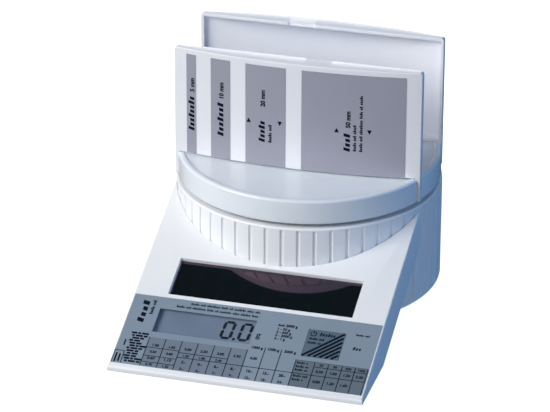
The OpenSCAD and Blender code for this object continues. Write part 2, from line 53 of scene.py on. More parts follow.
camera_place = Vector((0.38185, -1.39988, 0.73405))
camera_turn, camera_dip, camera_roll = (math.radians(a) for a in (15.556, 25.306, 0.209))
forward = Vector((-math.sin(camera_turn) * math.cos(camera_dip),
                  math.cos(camera_turn) * math.cos(camera_dip),
                  -math.sin(camera_dip)))
level = Vector((math.cos(camera_turn), math.sin(camera_turn), 0))
upward = level.cross(forward)
across = level * math.cos(camera_roll) + upward * math.sin(camera_roll)
upward = across.cross(forward)
camera = bpy.data.objects.new("camera", bpy.data.cameras.new("camera"))
camera.data.lens = 220.08
camera.data.sensor_width = 36
camera.data.clip_end = 50
camera_axes = Matrix((across, upward, -forward)).transposed()
camera.matrix_world = Matrix.Translation(camera_place) @ camera_axes.to_4x4()
scene.collection.objects.link(camera)
scene.camera = camera
scene.view_settings.view_transform = "Standard"


def shader(name):
    """A new node material, and its node tree with only the Principled shader and the output."""
    made = bpy.data.materials.new(name)
    made.use_nodes = True
    return made, made.node_tree, made.node_tree.nodes["Principled BSDF"]


floor_mesh = bpy.data.meshes.new("floor")
floor_half = 8.0
floor_mesh.from_pydata([(-floor_half, -floor_half, 0), (floor_half, -floor_half, 0),
                        (floor_half, floor_half, 0), (-floor_half, floor_half, 0)], [], [(0, 1, 2, 3)])
floor = bpy.data.objects.new("floor", floor_mesh)
scene.collection.objects.link(floor)
floor_paper, tree, paint = shader("floor_paper")
paint.inputs["Base Color"].default_value = (0.9, 0.9, 0.9, 1)
paint.inputs["Roughness"].default_value = 0.9
paint.inputs["Emission Color"].default_value = (1, 1, 1, 1)
paint.inputs["Emission Strength"].default_value = 0.9
floor_mesh.materials.append(floor_paper)
floor.visible_diffuse = False
floor.visible_glossy = False


def lamp(name, place, aim, width, height, power, colour):
    """A soft rectangular lamp at a place, turned to face a point."""
    data = bpy.data.lights.new(name, "AREA")
    data.shape = "RECTANGLE"
    data.size, data.size_y = width, height
    data.energy = power
    data.color = colour
    made = bpy.data.objects.new(name, data)
    made.location = place
    made.rotation_mode = "QUATERNION"
    made.rotation_quaternion = (Vector(aim) - Vector(place)).to_track_quat("-Z", "Y")
    scene.collection.objects.link(made)


lamp("key_lamp", (-1.4, -1.3, 1.25), (0, 0, 0.05), 1.4, 1.4, 52, (1.0, 0.99, 0.97))
lamp("front_lamp", (0.9, -1.8, 0.6), (0, 0, 0.06), 0.8, 0.5, 5, (0.93, 0.96, 1.0))
lamp("back_lamp", (-0.5, 2.2, 0.5), (0, 0, 0.05), 1.2, 0.9, 11, (0.97, 0.98, 1.0))
lamp("side_lamp", (1.7, 0.35, 0.5), (0, 0, 0.05), 0.9, 0.9, 10, (0.27, 0.54, 1.0))

room = bpy.data.worlds.new("room")
room.use_nodes = True
scene.world = room
tree = room.node_tree
tree.nodes.clear()
direction = tree.nodes.new("ShaderNodeTexCoord")
split = tree.nodes.new("ShaderNodeSeparateXYZ")
tree.links.new(direction.outputs["Generated"], split.inputs[0])
side = tree.nodes.new("ShaderNodeValToRGB")
side.color_ramp.elements[0].position = 0.1
side.color_ramp.elements[0].color = (0.62, 0.66, 0.72, 1)
side.color_ramp.elements[1].position = 0.8
side.color_ramp.elements[1].color = (0.06, 0.17, 0.36, 1)
spread = tree.nodes.new("ShaderNodeMapRange")
spread.inputs["From Min"].default_value = -1
tree.links.new(split.outputs["X"], spread.inputs["Value"])
tree.links.new(spread.outputs["Result"], side.inputs["Fac"])
height = tree.nodes.new("ShaderNodeValToRGB")
for place, strength in ((0.3, 0.12), (0.52, 0.5), (0.72, 0.5), (0.93, 0.09)):
    stop = height.color_ramp.elements.new(place)
    stop.color = (strength, strength, strength, 1)
for end in (0, -1):
    height.color_ramp.elements.remove(height.color_ramp.elements[end])
rise = tree.nodes.new("ShaderNodeMapRange")
rise.inputs["From Min"].default_value = -1
tree.links.new(split.outputs["Z"], rise.inputs["Value"])
tree.links.new(rise.outputs["Result"], height.inputs["Fac"])
room_light = tree.nodes.new("ShaderNodeBackground")
tree.links.new(height.outputs["Color"], room_light.inputs["Strength"])
tree.links.new(side.outputs["Color"], room_light.inputs["Color"])
white_wall = tree.nodes.new("ShaderNodeBackground")
white_wall.inputs["Color"].default_value = (1, 1, 1, 1)
seen = tree.nodes.new("ShaderNodeLightPath")
either = tree.nodes.new("ShaderNodeMixShader")
tree.links.new(seen.outputs["Is Camera Ray"], either.inputs["Fac"])
tree.links.new(room_light.outputs[0], either.inputs[1])
tree.links.new(white_wall.outputs[0], either.inputs[2])
tree.links.new(either.outputs[0], tree.nodes.new("ShaderNodeOutputWorld").inputs["Surface"])


# ---------- drum base ----------
# Round bottom plate, moulded in white plastic and left with a plain satin finish. It is screwed up
# into the drum's four bosses.

PATCH = 22


def moulded(name, low, high, rough, grain, depth, **sockets):
    """Moulded plastic or a like finish: the colour drifts between low and high in broad soft patches,
    roughness wanders over a finer noise, and a still finer noise of that grain size, in millimetres,
    and that depth, in micrometres, is the texture of the mould."""
    made, tree, paint = shader(name)
    place = tree.nodes.new("ShaderNodeTexCoord").outputs["Object"]

    def noise(size, detail):
        cloud = tree.nodes.new("ShaderNodeTexNoise")
        cloud.inputs["Scale"].default_value = 1 / (size * MM)
        cloud.inputs["Detail"].default_value = detail
        tree.links.new(place, cloud.inputs["Vector"])
        return cloud.outputs["Fac"]

    tone = tree.nodes.new("ShaderNodeValToRGB")
    tone.color_ramp.elements[0].position = 0.35
    tone.color_ramp.elements[0].color = (*low, 1)
    tone.color_ramp.elements[1].position = 0.65
    tone.color_ramp.elements[1].color = (*high, 1)
    tree.links.new(noise(PATCH, 2), tone.inputs["Fac"])
    tree.links.new(tone.outputs["Color"], paint.inputs["Base Color"])
    sheen = tree.nodes.new("ShaderNodeMapRange")
    sheen.inputs["From Min"].default_value = 0.3
    sheen.inputs["From Max"].default_value = 0.7
    sheen.inputs["To Min"].default_value, sheen.inputs["To Max"].default_value = rough
    tree.links.new(noise(grain * 9, 3), sheen.inputs["Value"])
    tree.links.new(sheen.outputs["Result"], paint.inputs["Roughness"])
    relief = tree.nodes.new("ShaderNodeBump")
    relief.inputs["Strength"].default_value = 1
    relief.inputs["Distance"].default_value = depth * MM * MM
    tree.links.new(noise(grain, 2), relief.inputs["Height"])
    tree.links.new(relief.outputs["Normal"], paint.inputs["Normal"])
    for socket, value in sockets.items():
        paint.inputs[socket.replace("_", " ")].default_value = value
    return made


def finish_cad(names, finish):
    """Gives CAD nodes whose shape is right their finish."""
    for name in names:
        data = cad_node[name].data
        data.materials.clear()
        data.materials.append(finish)


plain_white = moulded("plain_white", (0.80, 0.82, 0.85), (0.84, 0.86, 0.88), (0.42, 0.55), 0.35, 9)
finish_cad(["drum_base", "console_cover"], plain_white)

# ---------- drum ----------
# The ribbed drum is one white moulding: fifty-two shallow grooves stop short of its rounded shoulder.
# The deck under the pan has a round hole for the pan's carrier, four bosses take the base's screws, and
# a gap in front lets the console's tongue in.

DRUM_Y = 33.75
DRUM_R = 64.6
DECK_Z = 51.1
FOOT_Z = 0.6
WALL = 2.2
GROOVES = 52
GROOVE_DEPTH = 0.7
# Half widths of a groove's floor and of its mouth, and the heights between which its ends ramp out.
GROOVE_SIDE = (0.55, 0.95)
GROOVE_FOOT = (1.6, 2.4)
GROOVE_HEAD = (49.1, 49.9)
CARRIER_HOLE_R = 13
BOSS_RING = 54
BOSS_R = 3.4
SCREW_R = 1.1
TONGUE_X, TONGUE_Z = (-24, 24), (11.6, 25.6)
CREASE = math.radians(32)
MERGE = 1e-4


def arc(centre, radius, start, end, steps):
    """Points on a circle's arc, from the start angle to the end angle in degrees."""
    angle = np.radians(np.linspace(start, end, steps + 1))
    return np.stack([centre[0] + radius * np.cos(angle), centre[1] + radius * np.sin(angle)], 1)


def smooth_step(low, high, value):
    """0 below low, 1 above high, and 3t^2 - 2t^3 between them."""
    t = np.clip((value - low) / (high - low), 0, 1)
    return t * t * (3 - 2 * t)


def grid_faces(rows, columns, wrap_rows=False, wrap_columns=False):
    """Quads between neighbours of a grid of points, numbered row by row; a wrapped side joins its ends."""
    i = np.arange(rows if wrap_rows else rows - 1)[:, None]
    j = np.arange(columns if wrap_columns else columns - 1)[None, :]
    i2, j2 = (i + 1) % rows, (j + 1) % columns
    quads = [i * columns + j, i2 * columns + j, i2 * columns + j2, i * columns + j2]
    return np.stack(quads, -1).reshape(-1, 4)


def solid(name, points, faces):
    """A mesh object from points in millimetres. Doubles are merged, and its faces point outwards."""
    mesh = bpy.data.meshes.new(name)
    mesh.from_pydata((np.asarray(points, float).reshape(-1, 3) * MM).tolist(), [], [list(f) for f in faces])
    made = bpy.data.objects.new(name, mesh)
    scene.collection.objects.link(made)
    work = bmesh.new()
    work.from_mesh(mesh)
    bmesh.ops.remove_doubles(work, verts=work.verts, dist=MERGE * MM)
    bmesh.ops.dissolve_degenerate(work, edges=work.edges, dist=MERGE * MM)
    bmesh.ops.recalc_face_normals(work, faces=work.faces)
    work.to_mesh(mesh)
    work.free()
    return made


def revolved(profile, angles):
    """A closed profile of radius and height, turned about the drum's axis: rows are the angles."""
    radius, height = profile[:, 0], profile[:, 1]
    return np.stack([np.cos(angles)[:, None] * radius,
                     np.sin(angles)[:, None] * radius + DRUM_Y,
                     np.broadcast_to(height, (len(angles), len(height)))], -1)


def rod(x, y, low, high, radius, sides=48):
    """Points and faces of an upright rod. low and high may be numbers, or functions of x and y."""
    turn = np.arange(sides) * 2 * np.pi / sides
    ring_x, ring_y = x + radius * np.cos(turn), y + radius * np.sin(turn)
    ends = [end(ring_x, ring_y) if callable(end) else np.full(sides, float(end)) for end in (low, high)]
    points = np.concatenate([np.stack([ring_x, ring_y, z], 1) for z in ends])
    faces = [list(f) for f in grid_faces(2, sides, wrap_columns=True)]
    return points, faces + [list(range(sides)), list(range(sides, 2 * sides))]


def together(pieces):
    """Several pieces of points and faces as one."""
    points, faces, count = [], [], 0
    for own_points, own_faces in pieces:
        points.append(np.asarray(own_points, float).reshape(-1, 3))
        faces += [[int(c) + count for c in face] for face in own_faces]
        count += len(points[-1])
    return np.concatenate(points), faces


def carve(body, how, pieces):
    """Joins pieces to a solid, or cuts them out of it."""
    tool = solid("tool", *together(pieces))
    step = body.modifiers.new("carve", "BOOLEAN")
    step.operation = how
    step.solver = "MANIFOLD"
    step.object = tool
    keep_modifiers(body)
    bpy.data.objects.remove(tool)


def keep_modifiers(body):
    """Makes what the modifiers give the object's own mesh."""
    bpy.context.view_layer.update()
    ready = bpy.data.meshes.new_from_object(body.evaluated_get(bpy.context.evaluated_depsgraph_get()))
    body.modifiers.clear()
    body.data = ready


def complete(piece, finish, body, stands_for=()):
    """Smooth shading with creases at sharp angles, the finish, and the piece's place in the frame."""
    piece.data.materials.clear()
    piece.data.materials.append(finish)
    piece.data.shade_smooth()
    piece.data.set_sharp_from_angle(angle=CREASE)
    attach(piece, body)
    if stands_for:
        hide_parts(*stands_for)


shell_white = moulded("shell_white", (0.865, 0.88, 0.91), (0.88, 0.895, 0.92), (0.4, 0.44), 0.3, 5)


def ribbed_drum():
    """Radius as a function of angle and height: the wall's radius, less the groove's depth times a
    flat-bottomed dip across each groove and a ramp at both ends of it."""
    pitch = 2 * np.pi * DRUM_R / GROOVES
    across_groove = np.array([-0.5 * pitch, -2.4, -1.3, -1.0, -0.9, -0.8, -0.7, -0.6, -0.5, 0,
                              0.5, 0.6, 0.7, 0.8, 0.9, 1.0, 1.3, 2.4])
    angles = ((np.arange(GROOVES)[:, None] + 0.5) * pitch + across_groove).ravel() / DRUM_R - np.pi / 2
    shoulder = arc((DRUM_R - 1, DECK_Z - 1), 1, 90, 0, 8)
    heights = np.array([49.9, 49.7, 49.5, 49.3, 49.0, 40, 30, 20, 10, 2.6, 2.3, 2.1, 1.9, 1.7, 1.2])
    foot = arc((DRUM_R - 0.4, FOOT_Z + 0.4), 0.4, 0, -90, 4)
    profile = np.concatenate([
        arc((CARRIER_HOLE_R + 0.6, DECK_Z - 0.6), 0.6, 180, 90, 4), [[40, DECK_Z]], shoulder,
        np.stack([np.full(len(heights), DRUM_R), heights], 1), foot,
        [[DRUM_R - WALL, FOOT_Z], [DRUM_R - WALL, 20], [DRUM_R - WALL, DECK_Z - WALL],
         [40, DECK_Z - WALL], [CARRIER_HOLE_R, DECK_Z - WALL]]])
    points = revolved(profile, angles)
    beside = np.abs((angles + np.pi / 2) * DRUM_R % pitch - pitch / 2)
    dip = 1 - smooth_step(*GROOVE_SIDE, beside)
    reach = smooth_step(*GROOVE_FOOT, profile[:, 1]) * (1 - smooth_step(*GROOVE_HEAD, profile[:, 1]))
    reach = reach * (profile[:, 0] > DRUM_R - 0.01)
    radius = profile[:, 0] - GROOVE_DEPTH * dip[:, None] * reach
    points[..., 0] = np.cos(angles)[:, None] * radius
    points[..., 1] = np.sin(angles)[:, None] * radius + DRUM_Y
    return points.reshape(-1, 3), grid_faces(len(angles), len(profile), True, True)


def block(x, y, z):
    """Points and faces of a box between two values along each axis."""
    points = np.array([(a, b, c) for a in x for b in y for c in z])
    return points, [[0, 1, 3, 2], [4, 6, 7, 5], [0, 4, 5, 1], [2, 3, 7, 6], [0, 2, 6, 4], [1, 5, 7, 3]]


drum = solid("ribbed_drum", *ribbed_drum())
corners = [math.radians(a) for a in (45, 135, 225, 315)]
boss_places = [(BOSS_RING * math.cos(a), DRUM_Y + BOSS_RING * math.sin(a)) for a in corners]
carve(drum, "UNION", [rod(x, y, 3, DECK_Z - WALL + 0.5, BOSS_R) for x, y in boss_places])
tongue_gap = block(TONGUE_X, (DRUM_Y - DRUM_R - 1, DRUM_Y - DRUM_R + 14), TONGUE_Z)
carve(drum, "DIFFERENCE", [rod(x, y, 2.5, 16.5, SCREW_R, 24) for x, y in boss_places] + [tongue_gap])
complete(drum, shell_white, "housing", ["drum_shell"])

# ---------- console ----------
# One white moulding: a sloping face with a rounded front edge and two cheeks, cut out behind to hug the
# drum. It has windows for the display, the key and the solar panel, and a shallow bed for the label.

FRONT_Y = -98.35
SLOPE = math.radians(22.7)
LIP_Z = 2.9
SLAB = 17.5
FACE_T = 2.2
CONSOLE_HALF = 60.9
CONSOLE_L = 112
SEAM = 0.2
LABEL_X, LABEL_V = (-60, 60), (2.9, 45.4)
LCD_X, LCD_V = (-45.9, 1.2), (24, 38.5)
KEY_X, KEY_V = (26.5, 44.3), (21.3, 37.8)
# The opening behind the film's clear window is a little larger, so that its walls stay out of sight.
APERTURE_X, APERTURE_V = (LCD_X[0] - 0.8, LCD_X[1] + 0.6), (LCD_V[0] - 0.4, LCD_V[1] + 1.7)
SOLAR_X, SOLAR_V = (-44.6, 44.6), (47.8, 70.6)
CHAMFER = 0.35
BED = 0.3
EDGE_ROUND = 0.75
POST_R, POST_BORE_R = 2.4, 0.8
TOUCH = 0.01


def face_z(y):
    """Height of the console's face above a place y."""
    return LIP_Z + (y - FRONT_Y) * math.tan(SLOPE)


def on_slope(x, v, n):
    """Points at x across, v up the slope from the front edge and n out of the face."""
    x, v, n = np.broadcast_arrays(np.asarray(x, float), v, n)
    return np.stack([x, FRONT_Y + v * math.cos(SLOPE) - n * math.sin(SLOPE),
                     LIP_Z + v * math.sin(SLOPE) + n * math.cos(SLOPE)], -1)


def slope_block(x, v, n, spread=0.0):
    """A box on the slope between two values of x, v and n; its upper end is larger all round by spread."""
    points = np.array([(a, b, c) for a in x for b in v for c in n])
    middle = np.array([(x[0] + x[1]) / 2, (v[0] + v[1]) / 2])
    outward = np.sign(points[:, :2] - middle) * (points[:, 2:] == max(n))
    points[:, :2] += spread * outward
    return on_slope(*points.T), block(x, v, n)[1]


def side_outline(down, up, start):
    """Corners of the console seen from its right, as y and z: the face sunk by down, the flat and the
    sloping underside raised by up, from start behind the front edge to where the drum cuts it off."""
    sink, lift, drop = down / math.cos(SLOPE), up / math.cos(SLOPE), SLAB / math.cos(SLOPE)
    flat = FOOT_Z + up
    rise = math.tan(SLOPE)
    tip = max(start, (flat - LIP_Z + sink) / rise)
    kink = (flat - LIP_Z + drop - lift) / rise
    first = [] if tip > start else [(start, LIP_Z + start * rise - sink)]
    top = LIP_Z + CONSOLE_L * rise
    end = [(CONSOLE_L, top - sink), (CONSOLE_L, top - drop + lift)]
    return np.array([(tip, flat), *first, *end, (kink, flat)])


def prism(outline, half_width):
    """An outline of y behind the front edge and z, run across the console."""
    count = len(outline)
    sides = [np.column_stack([np.full(count, x), outline[:, 0] + FRONT_Y, outline[:, 1]])
             for x in (-half_width, half_width)]
    faces = [list(f) for f in grid_faces(2, count, wrap_columns=True)]
    return np.concatenate(sides), faces + [list(range(count)), list(range(count, 2 * count))]


def rounded(body, width, segments, chosen):
    """Rounds the edges that the test picks. The test is given the places of an edge's two ends, in
    millimetres."""
    mesh = body.data
    ends = np.array([e.vertices[:] for e in mesh.edges])
    place = np.array([v.co[:] for v in mesh.vertices]) / MM
    weight = mesh.attributes.new("bevel_weight_edge", "FLOAT", "EDGE")
    weight.data.foreach_set("value", chosen(place[ends[:, 0]], place[ends[:, 1]]).astype(np.float32))
    step = body.modifiers.new("round", "BEVEL")
    step.limit_method = "WEIGHT"
    step.width = width * MM
    step.segments = segments
    keep_modifiers(body)


def on_upper_face(a, b):
    """Edges with both ends on the console's face."""
    near_a, near_b = [np.abs(p[:, 2] - face_z(p[:, 1])) < TOUCH for p in (a, b)]
    return near_a & near_b & (np.minimum(a[:, 1], b[:, 1]) < FRONT_Y + CONSOLE_L - 1)


console = solid("console_face", *prism(side_outline(0, 0, 0), CONSOLE_HALF))
rounded(console, EDGE_ROUND, 5, on_upper_face)
screw_x, front_screw_y, rear_screw_v = 54, FRONT_Y + 22, 69
board_posts = [(x, v) for x in (-49, 49) for v in (47, 60)]


def slope_rod(x, v, low, high, radius, sides=32):
    """Points and faces of a rod square to the slope, between two depths n."""
    turn = np.arange(sides) * 2 * np.pi / sides
    rings = [on_slope(x + radius * np.cos(turn), v + radius * np.sin(turn), n) for n in (low, high)]
    faces = [list(f) for f in grid_faces(2, sides, wrap_columns=True)]
    return np.concatenate(rings), faces + [list(range(sides)), list(range(sides, 2 * sides))]


carve(console, "DIFFERENCE", [prism(side_outline(FACE_T, -0.5, WALL), CONSOLE_HALF - WALL)])
carve(console, "UNION",
      [rod(s * screw_x, front_screw_y, 3, lambda x, y: face_z(y) - FACE_T / 2 / math.cos(SLOPE), BOSS_R)
       for s in (-1, 1)]
      + [slope_rod(s * screw_x, rear_screw_v, 2 - SLAB, -FACE_T / 2, BOSS_R) for s in (-1, 1)]
      + [slope_rod(x, v, -7, -FACE_T / 2, POST_R) for x, v in board_posts])
carve(console, "DIFFERENCE",
      [rod(0, DRUM_Y, -1, 90, DRUM_R + SEAM, 400),
       slope_block(LABEL_X, LABEL_V, (-BED, 1)),
       slope_block(SOLAR_X, SOLAR_V, (-CHAMFER, 0.2), CHAMFER)])
carve(console, "DIFFERENCE",
      [slope_block(APERTURE_X, APERTURE_V, (-3, 0)), slope_block(KEY_X, KEY_V, (-3, 0)),
       slope_block(SOLAR_X, SOLAR_V, (-3, 0))]
      + [rod(s * screw_x, front_screw_y, 0, 9, SCREW_R, 24) for s in (-1, 1)]
      + [slope_rod(s * screw_x, rear_screw_v, -SLAB, 12 - SLAB, SCREW_R, 24) for s in (-1, 1)]
      + [slope_rod(x, v, -7.5, -2.7, POST_BORE_R, 24) for x, v in board_posts])
complete(console, shell_white, "housing", ["console_shell"])

# ---------- solar panel ----------
# Thin-film cells behind glass: near-black green that mirrors wine red, crossed by faint scribed lines
# between the cells. The glass is bonded into its window from behind.

CELL_PITCH = 11
SCRIBE_HALF = (0.1, 0.25)
solar_dark, tree, paint = shader("solar_dark")
place = tree.nodes.new("ShaderNodeTexCoord").outputs["Object"]
parted = tree.nodes.new("ShaderNodeSeparateXYZ")
tree.links.new(place, parted.inputs[0])
scribe = tree.nodes.new("ShaderNodeMath")
scribe.operation = "PINGPONG"
scribe.inputs[1].default_value = CELL_PITCH / 2 * MM
tree.links.new(parted.outputs["X"], scribe.inputs[0])
line = tree.nodes.new("ShaderNodeMapRange")
line.inputs["From Min"].default_value = SCRIBE_HALF[0] * MM
line.inputs["From Max"].default_value = SCRIBE_HALF[1] * MM
tree.links.new(scribe.outputs[0], line.inputs["Value"])
cloud = tree.nodes.new("ShaderNodeTexNoise")
cloud.inputs["Scale"].default_value = 60
tree.links.new(place, cloud.inputs["Vector"])
film = tree.nodes.new("ShaderNodeValToRGB")
film.color_ramp.elements[0].position = 0.35
film.color_ramp.elements[0].color = (0.0, 0.0065, 0.006, 1)
film.color_ramp.elements[1].position = 0.7
film.color_ramp.elements[1].color = (0.002, 0.006, 0.007, 1)
tree.links.new(cloud.outputs["Fac"], film.inputs["Fac"])
crossed = tree.nodes.new("ShaderNodeMix")
crossed.data_type = "RGBA"
crossed.inputs["A"].default_value = (0.009, 0.008, 0.01, 1)
tree.links.new(line.outputs["Result"], crossed.inputs["Factor"])
tree.links.new(film.outputs["Color"], crossed.inputs["B"])
tree.links.new(crossed.outputs["Result"], paint.inputs["Base Color"])
paint.inputs["Roughness"].default_value = 0.04
paint.inputs["IOR"].default_value = 1.6
paint.inputs["Specular IOR Level"].default_value = 1
paint.inputs["Specular Tint"].default_value = (1.0, 0.62, 0.86, 1)
finish_cad(["solar_glass", "solar_cell"], solar_dark)

# ---------- weighing pan ----------
# A round tray in glossier plastic, with a narrow raised rim and a deep rounded skirt. Four pockets in
# its edge take the plates' ears, and screw bosses stand under its floor.

PAN_R = 63.9
PAN_Z = 53.3
PAN_WALL = 1.8
PAN_FLOOR_T = 2
PAN_BOSS_RING = 47
FLOOR_Z = 64.5
RIM_Z = 65.2
RIM_W = 2.8
PLATE_GAP_HALF = 20.3
EAR_HALF = 2.0
EAR_Y = PLATE_GAP_HALF + EAR_HALF
EAR_CLEAR = 0.3
POCKET_X = 57.75
POCKET_WALL = 1.6


def pan_profile():
    """Radius and height round the tray's wall: floor, a short ramp to the rim, the rim's round shoulder,
    the skirt with its rounded lower edge, and back up inside."""
    inner = PAN_R - RIM_W
    under = FLOOR_Z - PAN_FLOOR_T
    ramp = np.linspace(0, 1, 7)
    return np.concatenate([
        [[0, FLOOR_Z], [20, FLOOR_Z], [45, FLOOR_Z], [inner - 2, FLOOR_Z]],
        np.stack([inner - 0.9 + 1.2 * ramp, FLOOR_Z + (RIM_Z - FLOOR_Z) * smooth_step(0, 1, ramp)], 1),
        arc((PAN_R - 1.4, RIM_Z - 1.4), 1.4, 90, 0, 10),
        [[PAN_R, 60], [PAN_R, 56]], arc((PAN_R - 0.4, PAN_Z + 0.4), 0.4, 0, -90, 4),
        arc((PAN_R - PAN_WALL + 0.3, PAN_Z + 0.3), 0.3, -90, -180, 3),
        [[PAN_R - PAN_WALL, 58], [PAN_R - PAN_WALL, under], [45, under], [20, under], [0, under]]])


turns = np.arange(300) * 2 * np.pi / 300
pan_points = revolved(pan_profile(), turns)
pan = solid("pan_tray", pan_points.reshape(-1, 3), grid_faces(*pan_points.shape[:2], wrap_rows=True))


def ear_boxes(inner, margin, low, high):
    """A box round each of the four ears, from inner outwards, with that margin in y."""
    reach = EAR_HALF + margin
    return [block(sorted((sx * inner, sx * (PAN_R + 6))),
                  (DRUM_Y + sy * EAR_Y - reach, DRUM_Y + sy * EAR_Y + reach), (low, high))
            for sx in (-1, 1) for sy in (-1, 1)]


def pieces_of(body):
    """An object's own points and faces, to carve with."""
    return (np.array([v.co[:] for v in body.data.vertices]) / MM,
            [list(p.vertices) for p in body.data.polygons])


walls = solid("walls", *together(
    ear_boxes(POCKET_X - POCKET_WALL, EAR_CLEAR + POCKET_WALL, PAN_Z, FLOOR_Z - 0.2)))
carve(walls, "INTERSECT", [rod(0, DRUM_Y, PAN_Z - 1, FLOOR_Z, PAN_R - 0.5, 300)])
pan_bosses = [(PAN_BOSS_RING * math.cos(a), DRUM_Y + PAN_BOSS_RING * math.sin(a)) for a in corners]
carve(pan, "UNION", [pieces_of(walls)] + [rod(x, y, 59, FLOOR_Z - 1, 3) for x, y in pan_bosses])
bpy.data.objects.remove(walls)
carve(pan, "DIFFERENCE", ear_boxes(POCKET_X, EAR_CLEAR, PAN_Z - 1, RIM_Z + 1)
      + [rod(x, y, 58, 63.5, SCREW_R, 24) for x, y in pan_bosses])
pan_white = moulded("pan_white", (0.80, 0.85, 0.90), (0.82, 0.865, 0.91), (0.2, 0.22), 0.5, 2)
complete(pan, pan_white, "pan", ["weighing_pan"])

# ---------- gauge plates ----------
# Two copies of one white moulding stand face to face on the pan. Each has a bowed face and a hollow
# back inside a narrow rim, two ears that drop into the pan's pockets, and a finger notch on top.

# PLATE_MID is the depth of the bow's middle from the plate's flat plane, and BOW how far it bulges.
PLATE_HALF = 60.75
PLATE_TOP = 119.6
PLATE_FOOT = 65.5
PLATE_MID = 9.2
PLATE_WALL = 1.5
BOW = 5.8
BOW_R = (PLATE_HALF ** 2 + BOW ** 2) / (2 * BOW)
EAR_W = 2.7
EAR_FOOT = 53.5
CORNER_R = 1.6
FACE_ROUND = 0.45
RIM_FLAT, RIM_ROUND = 1.4, 0.3
FILLET_FROM, FILLET = 1.85, 0.45
NOTCH_FROM, NOTCH_TO, NOTCH_DEPTH, NOTCH_DROP = 3.5, 16.5, 0.9, 1.5
NEAR = 1e-6


def bow_depth(x):
    """Depth of the bowed face from the plate's flat plane."""
    return PLATE_MID - BOW_R + np.sqrt(BOW_R ** 2 - np.asarray(x, float) ** 2)


def round_over(edge, radius):
    """How far a quarter-round edge falls away at that distance in from the edge."""
    left = np.clip(radius - edge, 0, radius)
    return radius - np.sqrt(radius ** 2 - left ** 2)


def thick_sheet(front, back, kept):
    """Closes two sheets of points over the grid's kept cells: quads in front, quads behind turned about,
    and a wall along every cell side whose neighbour isn't kept."""
    rows, columns = front.shape[:2]
    number = np.arange(rows * columns).reshape(rows, columns)
    behind = number + rows * columns
    quad = np.stack([number[:-1, :-1], number[1:, :-1], number[1:, 1:], number[:-1, 1:]], -1)[kept]
    faces = [quad, quad[:, ::-1] + rows * columns]
    framed = np.pad(kept, 1)
    for shift, first, second in (((0, 1), (0, 0), (0, 1)), ((1, 0), (0, 0), (1, 0)),
                                 ((2, 1), (1, 0), (1, 1)), ((1, 2), (0, 1), (1, 1))):
        beyond = framed[shift[0]:shift[0] + kept.shape[0], shift[1]:shift[1] + kept.shape[1]]
        i, j = np.nonzero(kept & ~beyond)
        a, b = (i + first[0], j + first[1]), (i + second[0], j + second[1])
        faces.append(np.stack([number[a], number[b], behind[b], behind[a]], -1))
    faces = np.concatenate(faces)
    used, faces = np.unique(faces, return_inverse=True)
    return np.concatenate([front.reshape(-1, 3), back.reshape(-1, 3)])[used], faces.reshape(-1, 4)


